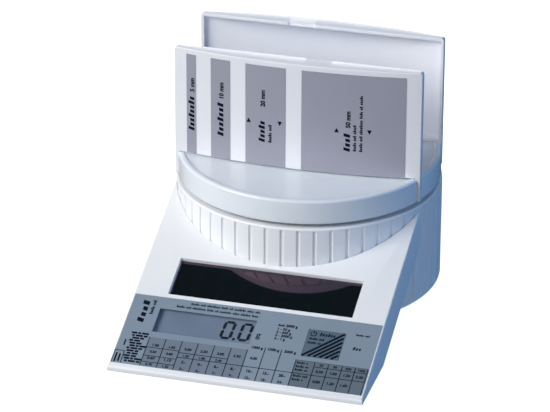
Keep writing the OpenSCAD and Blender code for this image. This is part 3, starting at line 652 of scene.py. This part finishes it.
def plate_points():
    """The plate standing with its flat plane at y = 0 and its face towards -y. With e the distance in from
    the outline, the face falls away as a quarter round near e = 0; the back is flat up to the rim's width,
    then rounds over and drops to a wall's thickness behind the face."""
    rim = np.array([0, 0.05, 0.15, 0.3, 0.45, 1.4, 1.47, 1.58, 1.7, 1.85, 1.95, 2.1, 2.3])
    ear_side = PLATE_HALF - EAR_W + np.array([0, 0.05, 0.15, 0.3, 0.45])
    notch_ends = [NOTCH_FROM, NOTCH_FROM + 0.1, NOTCH_TO - 0.1, NOTCH_TO]
    half = np.concatenate([PLATE_HALF - rim, ear_side, notch_ends, np.linspace(0, 57, 39)])
    corner = PLATE_HALF - CORNER_R + CORNER_R * np.sin(np.radians([15, 30, 45, 60, 75]))
    half = np.concatenate([half, corner])
    x = np.unique(np.round(np.concatenate([-half, half]), 4))
    ear_rows = np.concatenate([EAR_FOOT + rim[:5], [57, 61, FLOOR_Z, RIM_Z]])
    rows = np.concatenate([ear_rows, PLATE_FOOT + rim, np.linspace(69, 116, 17), PLATE_TOP - rim])
    z = np.unique(np.round(rows, 4))
    x, z = np.meshgrid(x, z, indexing="ij")
    in_ear = np.abs(x) > PLATE_HALF - EAR_W - NEAR
    foot = np.where(in_ear, EAR_FOOT, PLATE_FOOT)
    edge = np.minimum(np.minimum(PLATE_HALF - np.abs(x), PLATE_TOP - z), z - foot)
    low_ear = z < PLATE_FOOT - NEAR
    edge = np.where(low_ear, np.minimum(edge, np.abs(x) - PLATE_HALF + EAR_W), edge)
    edge = np.maximum(edge, 0)
    depth = bow_depth(x)
    front = -(depth - round_over(edge, FACE_ROUND))
    pocket = np.minimum(np.minimum(PLATE_HALF - np.abs(x), PLATE_TOP - z), z - PLATE_FOOT)
    deep = depth - PLATE_WALL
    bowl = deep - FILLET + np.sqrt(FILLET ** 2 - np.clip(FILLET_FROM + FILLET - pocket, 0, FILLET) ** 2)
    rim_side = np.where(pocket >= RIM_FLAT, round_over(RIM_FLAT + RIM_ROUND - pocket, RIM_ROUND), 0)
    inside = np.where(pocket >= FILLET_FROM - NEAR, bowl, rim_side)
    notch_span = smooth_step(NOTCH_FROM - 0.05, NOTCH_FROM + 0.1, x)
    notch_span = notch_span * (1 - smooth_step(NOTCH_TO - 0.1, NOTCH_TO + 0.05, x))
    notch = NOTCH_DEPTH * notch_span * (PLATE_TOP - z < NOTCH_DROP)
    back = -np.maximum(np.maximum(inside, notch), round_over(edge, RIM_ROUND) * (pocket < RIM_FLAT))
    turn_in = np.clip(np.abs(x) - PLATE_HALF + CORNER_R, 0, CORNER_R)
    drop = (CORNER_R - np.sqrt(CORNER_R ** 2 - turn_in ** 2)) * smooth_step(112, PLATE_TOP, z)
    place = [np.stack([x, y, z - drop], -1) for y in (front, back)]
    middle_x = np.abs(x[:-1, :-1] + x[1:, :-1]) / 2
    middle_z = (z[:-1, :-1] + z[:-1, 1:]) / 2
    kept = (middle_z > PLATE_FOOT) | (middle_x > PLATE_HALF - EAR_W)
    return thick_sheet(place[0], place[1], kept)


def standing(points, way):
    """A plate's points put in place in front of the drum's axis (way 1), or turned half round behind
    it (-1)."""
    return points * (way, way, 1) + (0, DRUM_Y - way * PLATE_GAP_HALF, 0)


plate_white = moulded("plate_white", (0.86, 0.87, 0.915), (0.875, 0.885, 0.925), (0.3, 0.33), 0.4, 3)
plate_outline, plate_faces = plate_points()
for name, way, body, stands_for in (("front_gauge_plate", 1, "front_gauge", "front_plate"),
                                    ("rear_gauge_plate", -1, "rear_gauge", "rear_plate")):
    plate = solid(name, standing(plate_outline, way), plate_faces)
    complete(plate, plate_white, body, [stands_for])

# ---------- printed gauge strips ----------
# Four grey fields screen printed on the front plate, each as wide as the letter thickness that it stands
# for. On them, in dark ink, are that number, rows of plain blocks that stand for type, and small arrows.

strip_ink = moulded("strip_ink", (0.345, 0.35, 0.42), (0.355, 0.36, 0.43), (0.5, 0.54), 0.3, 2)
finish_cad(["front_strips"], strip_ink)
INK_T = 0.03
STRIP_T = 0.15
FONT_PER_DIGIT = 1.37


def slab(outline, low, high):
    """A flat outline as a thin closed solid between two heights above the printed face."""
    outline = np.asarray(outline, float)
    count = len(outline)
    points = np.concatenate([np.column_stack([outline, np.full(count, h)]) for h in (low, high)])
    faces = [list(f) for f in grid_faces(2, count, wrap_columns=True)]
    return points, faces + [list(range(count)), list(range(count, 2 * count))]


def bar(x0, x1, y0, y1):
    """Corners of an upright rectangle."""
    return [(x0, y0), (x1, y0), (x1, y1), (x0, y1)]


def word_blocks(x, y, length, height, weight=0.49):
    """Blocks in the rhythm of a line of small type that says nothing: narrow letters of two heights, in
    words."""
    made, at, letter = [], 0.0, 0
    pitch, space, shortest = 0.62 * height, 0.5 * height, 0.3 * height
    rhythm = (5, 3, 8, 4, 2, 7, 4, 6)
    tall = (1.0, 0.7, 0.72, 1.0, 0.68, 0.74, 0.7, 1.0, 0.7)
    word = 0
    while at < length - shortest:
        for _ in range(rhythm[word % len(rhythm)]):
            if at > length - shortest:
                break
            made.append(bar(x + at, x + at + weight * height, y, y + height * tall[letter % len(tall)]))
            at += pitch
            letter += 1
        at += space
        word += 1
    return made


def letters(x, y, length, height, count):
    """One word of heavy type as its letters' blocks: leaning, evenly set, every third one a tall one."""
    step = length / count
    made = []
    for i in range(count):
        tall = height * (1.0 if i % 3 == 0 else 0.72)
        lean = 0.2 * tall
        start = x + i * step
        end = start + 0.66 * step
        made.append([(start, y), (end, y), (end + lean, y + tall), (start + lean, y + tall)])
    return made


def figures(text, x, y, height, align="LEFT", weight=0.065):
    """Digits and units as a closed mesh in the plane of the print, with that height of digit. weight is how
    far the strokes are thickened, as a part of the height."""
    curve = bpy.data.curves.new("figures", "FONT")
    curve.body = text
    curve.size = height * FONT_PER_DIGIT
    curve.align_x = align
    curve.extrude = INK_T / 2
    curve.offset = weight * height
    curve.resolution_u = 3
    writing = bpy.data.objects.new("figures", curve)
    scene.collection.objects.link(writing)
    bpy.context.view_layer.update()
    mesh = bpy.data.meshes.new_from_object(writing.evaluated_get(bpy.context.evaluated_depsgraph_get()))
    points = np.array([v.co[:] for v in mesh.vertices]).reshape(-1, 3) + (x, y, INK_T / 2)
    faces = [list(p.vertices) for p in mesh.polygons]
    bpy.data.objects.remove(writing)
    bpy.data.meshes.remove(mesh)
    return points, faces


def printed(name, pieces, lay, finish, body):
    """Thin pieces of print laid on a face: lay takes x, y and height above the face to the frame."""
    points, faces = together(pieces)
    complete(solid(name, lay(*points.T), faces), finish, body)


def on_plate(x, y, height):
    """Print on the front plate. x runs up the plate from the foot and y leftwards from the plate's right
    end along the bow, so that a line of type reads upwards."""
    turn = (PLATE_HALF - y) / BOW_R
    radius = BOW_R + STRIP_T + height
    bow_centre = DRUM_Y - PLATE_GAP_HALF + BOW_R - PLATE_MID
    return np.stack([radius * np.sin(turn), bow_centre - radius * np.cos(turn), PLATE_FOOT + x], -1)


ink = moulded("print_ink", (0.002, 0.006, 0.014), (0.004, 0.009, 0.019), (0.45, 0.5), 0.3, 2,
              Specular_IOR_Level=0.1)
PLATE_W = 2 * PLATE_HALF
WORD_H = 3.1
NUMBER_H = WORD_H * 0.72
ARROW = 1.15


def arrow(x, y, way):
    """Corners of a small triangle whose tip points up the plate (way 1) or down it (-1)."""
    return [(x - way * ARROW, y + ARROW), (x - way * ARROW, y - ARROW), (x + way * ARROW, y)]


def strip_text(left, word_from, word_to, count, number, number_at, below):
    """Print of one strip. left is how far along the bow its heavy word stands; the word has that many
    letters, its number follows it, and below are smaller lines: how far below, from, to and height."""
    line = PLATE_W - left - WORD_H
    made = [slab(b, 0, INK_T) for b in letters(word_from, line, word_to - word_from, WORD_H, count)]
    made.append(figures(number, number_at, line, NUMBER_H))
    for gap, start, end, small in below:
        made += [slab(b, 0, INK_T) for b in word_blocks(start, line - gap, end - start, small)]
    return made


strips = [(7.2, 12.2, 30.2, 8, "5 mm", 32.4, []),
          (22.4, 12.0, 29.6, 7, "10 mm", 31.2, []),
          (43.4, 12.2, 23.4, 5, "20 mm", 30.5, [(3.4, 12.4, 22.7, 1.7)]),
          (85.0, 12.0, 21.6, 4, "50 mm", 24.2, [(2.9, 12.4, 26.3, 1.5), (5.9, 12.4, 41.1, 1.5)])]
plate_print = [piece for strip in strips for piece in strip_text(*strip)]
plate_print += [slab(arrow(22.7, PLATE_W - along, way), 0, INK_T)
                for along, way in ((38.4, 1), (53.9, -1), (81.6, 1), (97.3, -1))]
printed("strip_print", plate_print, on_plate, ink, "front_gauge")

# ---------- label ----------
# A satin silver film glued in the console's bed. Printed on it are tables of plain numbers, darker
# fields behind two of them, and rows of plain blocks that stand for type.

foil = moulded("foil_silver", (0.285, 0.36, 0.45), (0.295, 0.37, 0.46), (0.36, 0.4), 0.25, 2, Metallic=0.2)
foil_dark = moulded("foil_dark", (0.125, 0.165, 0.205), (0.135, 0.175, 0.215), (0.4, 0.44), 0.25, 2)
foil_mid = moulded("foil_mid", (0.17, 0.215, 0.275), (0.18, 0.225, 0.285), (0.4, 0.44), 0.25, 2)
finish_cad(["label_foil"], foil)
FOIL_N = -0.05
FIELD_T = 0.012
FOOT_V = 3.0


def on_label(x, y, height):
    """Print on the label: x across and y up the slope."""
    return on_slope(x, y, FOIL_N + height)


def rule(x0, x1, y, weight=0.36):
    """A level printed line."""
    return bar(x0, x1, y - weight / 2, y + weight / 2)


def post(x, y0, y1, weight=0.4):
    """An upright printed line."""
    return bar(x - weight / 2, x + weight / 2, y0, y1)


# Places of the upright lines of the large table and of the small one, and the middles between them.
columns = [-45.9, -37.9, -30.0, -22.3, -14.4, -6.4, 1.4, 9.3, 17.1, 25.1]
middles = [(a + b) / 2 for a, b in zip(columns, columns[1:])]
rates = [34.2, 40.7, 47.2, 53.4, 59.3]
rate_middles = [(a + b) / 2 for a, b in zip(rates, rates[1:])]
table_end, rates_end = columns[-1], rates[-1]
field_mid = bar(-46, 1.4, FOOT_V, 20.6)
field_dark = bar(table_end, rates_end, FOOT_V, 18.7)
printed("label_field_mid", [slab(field_mid, 0, FIELD_T)], on_label, foil_mid, "housing")
printed("label_field_dark", [slab(field_dark, 0, FIELD_T)], on_label, foil_dark, "housing")

rules = [rule(-46, -30.1, v) for v in (14.5, 9.5, 5.8)] + [rule(-29.9, -6.5, v) for v in (13.6, 10.8)]
rules += [rule(-6.3, rates_end, 10.8), rule(table_end, rates_end, 18.7, 0.15)]
rules += [rule(rates[0], rates_end, 15.8), rule(-60, -55.2, 10.5)]
posts = [post(x, FOOT_V, top) for x, top in zip(columns, [20.6] * 6 + [20.8, 23.4, 23.4, 18.7])]
posts += [post(x, FOOT_V, 18.4) for x in rates]
posts += [post(-59.8, 3.2, 10.4), post(-55.3, 3.2, 10.4)]
posts += [bar(-58.9, -58.1, 3.4, 9.0), bar(-57.2, -56.4, 4.0, 8.6), bar(-57.0, -56.3, 13.8, 17.4)]
printed("label_rules", [slab(b, 0, INK_T) for b in rules] + [slab(b, 0, INK_T * 1.1) for b in posts],
        on_label, ink, "housing")

# Each row of figures: its place up the slope, the height of its digits, its columns and its figures.
rows_of_figures = [(15.4, 1.45, middles, "1.00 1.50 2.00 2.50 3.00 3.50 4.00"),
                   (11.4, 1.35, middles, "0.50 0.80 1.20 1.80 2.40"),
                   (7.6, 1.55, middles, "0.60 1.10 2.- 4.- 6.- 8.- 10.- 15.- 20.-"),
                   (3.8, 1.35, middles, "0.70 1.20 3.- 5.- 7.- 9.- 12.- 18.- 24.-"),
                   (16.6, 1.3, rate_middles, "20 50 500 1000"),
                   (12.6, 1.5, rate_middles, "0.50 1.00 1.50 2.00"),
                   (6.6, 1.5, rate_middles, "0.80 1.20 1.60")]
label_figures = [figures(text, x, 21.9, 1.5, "CENTER")
                 for text, x in (("1000 g", 5.4), ("1500 g", 13.2), ("2000 g", 21.2))]
label_figures += [figures(text, x, v, tall, "CENTER")
                  for v, tall, places, row in rows_of_figures for text, x in zip(row.split(), places)]
label_figures += [figures(text, 11.8, v, 1.45) for text, v in
                  (("1 - 50 g", 34.8), ("2 - 500 g", 32.8), ("5 - 2000 g", 30.8), ("4 - 1 g", 28.8))]
label_figures += [figures("2000 g", 15.4, 37.1, 1.5)]
printed("label_figures", label_figures, on_label, ink, "housing")
printed("unit_mark", [figures("g", 4.1, 28.6, 3.6, "CENTER", 0.02)], on_label, ink, "housing")


def word_bars(x, y, length, height, start):
    """A line of the smallest type: each word is one whole bar. Lines with another start differ."""
    made, at = [], 0.0
    for i in range(8):
        long = (2.6, 1.4, 3.4, 1.9, 2.9)[(start + i) % 5]
        if at + long > length:
            break
        made.append(bar(x + at, x + at + long, y, y + height))
        at += long + 0.45
    return made


words = word_blocks(-32, 42.8, 33.2, 1.3) + word_blocks(-38.5, 40.3, 40.2, 1.3)
words += [b for i in range(12)
          for b in word_bars(-55 + 0.5 * (i % 3), 21.4 - 1.55 * i, 8.8 - (i * 7 % 5) * 0.6, 1.1, i)]
words += [b for v in (16.6, 14.4, 12.4, 8.8, 6.6) for b in word_blocks(25.9, v, 7.4 - (v * 3 % 2), 1.25)]
words += word_blocks(11.8, 37.1, 2.9, 1.2, 0.5) + word_blocks(49, 37.2, 7.2, 1.2)
words += letters(49.3, 28.6, 4.2, 1.9, 3)
printed("label_words", [slab(b, 0, INK_T) for b in words], on_label, ink, "housing")


def stroke(a, b, weight):
    """A straight line of that weight between two points."""
    a, b = np.array(a, float), np.array(b, float)
    off = np.array([a[1] - b[1], b[0] - a[0]]) / np.linalg.norm(b - a) * weight / 2
    return [a - off, b - off, b + off, a + off]


def upright(blocks, x, y):
    """Blocks laid out from the origin, turned to read up the slope from a place."""
    return [[(x - b, y + a) for a, b in outline] for outline in blocks]


column = upright(letters(0, 0, 14.2, 3.2, 4), -51.6, 28.6) + upright(word_blocks(0, 0, 9.0, 1.6), -48.6, 34.2)
printed("upright_words", [slab(b, 0, INK_T) for b in column], on_label, ink, "housing")

# ---------- display ----------
# A liquid crystal glass under a grey polariser lies behind the film's clear window. Slanted digits of
# seven parts each read nought point nought.

polariser = moulded("polariser", (0.15, 0.2, 0.285), (0.18, 0.235, 0.325), (0.4, 0.44), 0.3, 1)
finish_cad(["display_glass"], polariser)
window_film, tree, paint = shader("window_film")
paint.inputs["Base Color"].default_value = (0.6, 0.68, 0.78, 1)
paint.inputs["Roughness"].default_value = 0.12
paint.inputs["Alpha"].default_value = 0.01
finish_cad(["display_window"], window_film)
LCD_N = -2.3
DIGIT_H, DIGIT_W, DIGIT_T = 11.1, 5.9, 1.45
DIGIT_V = 26.9
DIGIT_LEAN = 0.07
PART_GAP = 0.12


def segment(a, b):
    """One part of a digit between two corners: a bar with mitred tips, a little short of both corners."""
    a, b = np.array(a, float), np.array(b, float)
    way = (b - a) / np.linalg.norm(b - a)
    off = np.array([-way[1], way[0]]) * DIGIT_T / 2
    a, b = a + way * PART_GAP, b - way * PART_GAP
    inset = way * DIGIT_T / 2
    return [a, a + inset - off, b - inset - off, b, b - inset + off, a + inset + off]


def digit(x, v, parts):
    """The lit parts of a digit whose lower left corner is at x, v, leaning to the right as it rises."""
    tall, wide = DIGIT_H - DIGIT_T, DIGIT_W - DIGIT_T
    knots = {"top": tall, "mid": tall / 2, "low": 0}
    ends = {"a": ((0, "top"), (1, "top")), "b": ((1, "mid"), (1, "top")), "c": ((1, "low"), (1, "mid")),
            "d": ((0, "low"), (1, "low")), "e": ((0, "low"), (0, "mid")), "f": ((0, "mid"), (0, "top")),
            "g": ((0, "mid"), (1, "mid"))}
    made = []
    for part in parts:
        (sa, ka), (sb, kb) = ends[part]
        points = segment((sa * wide, knots[ka]), (sb * wide, knots[kb]))
        made.append([(x + DIGIT_T / 2 + px + DIGIT_LEAN * py, v + DIGIT_T / 2 + py) for px, py in points])
    return made


def on_display(x, y, height):
    """The lit parts lie on the display's glass."""
    return on_slope(x, y, LCD_N + height)


nought = "abcdef"
lit = digit(-14.8, DIGIT_V, nought) + digit(-6.3, DIGIT_V, nought) + [bar(-8.2, -6.9, DIGIT_V, DIGIT_V + 1.3)]
crystal = moulded("dark_crystal", (0.0, 0.002, 0.006), (0.001, 0.003, 0.008), (0.5, 0.54), 0.3, 1,
                  Specular_IOR_Level=0.15)
printed("display_digits", [slab(b, 0, INK_T) for b in lit], on_display, crystal, "housing")

# ---------- key ----------
# One printed key under the film: a power sign and lines of plain blocks above, and slanting stripes
# below them. It is pressed into its switch through the film.

key_ink = moulded("key_face", (0.1, 0.148, 0.2), (0.11, 0.158, 0.21), (0.36, 0.4), 0.25, 2)
finish_cad(["key_pad"], key_ink)
left, right, low_v, high_v = KEY_X[0] + 0.5, KEY_X[1] - 0.5, KEY_V[0] + 0.5, KEY_V[1] - 0.5
stripe_step, stripe_w = (2.75, 2.6), 1.15
stripes = [stroke((left + stripe_step[0] * i, low_v), (right, high_v - stripe_step[1] * i), stripe_w)
           for i in range(6)]
power_x, power_v = 29.3, 35.2
ring = np.concatenate([arc((power_x, power_v), 1.55, 125, 415, 30),
                       arc((power_x, power_v), 1.1, 415, 125, 30)])
power = [ring, bar(power_x - 0.25, power_x + 0.25, power_v + 0.2, power_v + 1.9)]
lines = letters(32.3, 34.4, 7.6, 1.9, 6) + word_blocks(28, 31.6, 7.2, 1.3) + word_blocks(27.8, 29.2, 6.6, 1.3)
key_print = [slab(b, 0, INK_T) for b in stripes + power + lines]
printed("key_print", key_print, on_label, ink, "key")

# ---------- inside pieces and fasteners ----------
# What the shells hide, and the screws and feet under them. Each has its working finish: a lacquered
# board, a milled aluminium cell, plated steel screws, a carrier of filled black plastic and rubber feet.

finish_cad(["rubber_feet"],
           moulded("rubber", (0.02, 0.02, 0.022), (0.03, 0.03, 0.032), (0.75, 0.9), 0.5, 30))
finish_cad(["base_screws", "cover_screws", "tongue_screws", "board_screws", "cell_screws",
            "carrier_screws", "pan_screws", "overload_stop", "cell_mount"],
           moulded("zinc", (0.5, 0.51, 0.53), (0.6, 0.61, 0.62), (0.25, 0.4), 0.4, 4, Metallic=1.0))
finish_cad(["load_cell"],
           moulded("milled_aluminium", (0.72, 0.73, 0.75), (0.8, 0.81, 0.82), (0.28, 0.42), 0.3, 3,
                   Metallic=1.0, Anisotropic=0.4))
finish_cad(["strain_gauges"],
           moulded("gauge_silicone", (0.75, 0.74, 0.7), (0.82, 0.81, 0.77), (0.4, 0.5), 0.6, 20))
finish_cad(["pan_carrier"],
           moulded("filled_black", (0.02, 0.02, 0.022), (0.035, 0.035, 0.038), (0.45, 0.6), 0.4, 18))
finish_cad(["display_holder", "cable_socket"],
           moulded("holder_plastic", (0.78, 0.77, 0.73), (0.83, 0.82, 0.78), (0.4, 0.5), 0.4, 6))
finish_cad(["display_reflector"],
           moulded("reflector_foil", (0.6, 0.62, 0.65), (0.68, 0.7, 0.72), (0.3, 0.4), 0.4, 3, Metallic=0.9))
finish_cad(["contact_strip"],
           moulded("contact_rubber", (0.6, 0.28, 0.32), (0.68, 0.34, 0.38), (0.55, 0.65), 0.3, 5))
finish_cad(["main_board"],
           moulded("solder_resist", (0.01, 0.09, 0.035), (0.02, 0.13, 0.05), (0.25, 0.4), 0.6, 6))
finish_cad(["chip_cover", "key_switch"],
           moulded("black_epoxy", (0.008, 0.008, 0.009), (0.02, 0.02, 0.02), (0.3, 0.5), 1.0, 10))
finish_cad(["storage_capacitors"],
           moulded("sleeve_blue", (0.01, 0.016, 0.08), (0.015, 0.025, 0.1), (0.2, 0.3), 0.6, 4))
finish_cad(["small_parts"],
           moulded("ceramic", (0.3, 0.19, 0.08), (0.36, 0.24, 0.11), (0.4, 0.5), 0.4, 6))
finish_cad(["solar_leads", "cell_cable"],
           moulded("wire_sleeve", (0.09, 0.09, 0.1), (0.12, 0.12, 0.13), (0.4, 0.5), 0.4, 5))
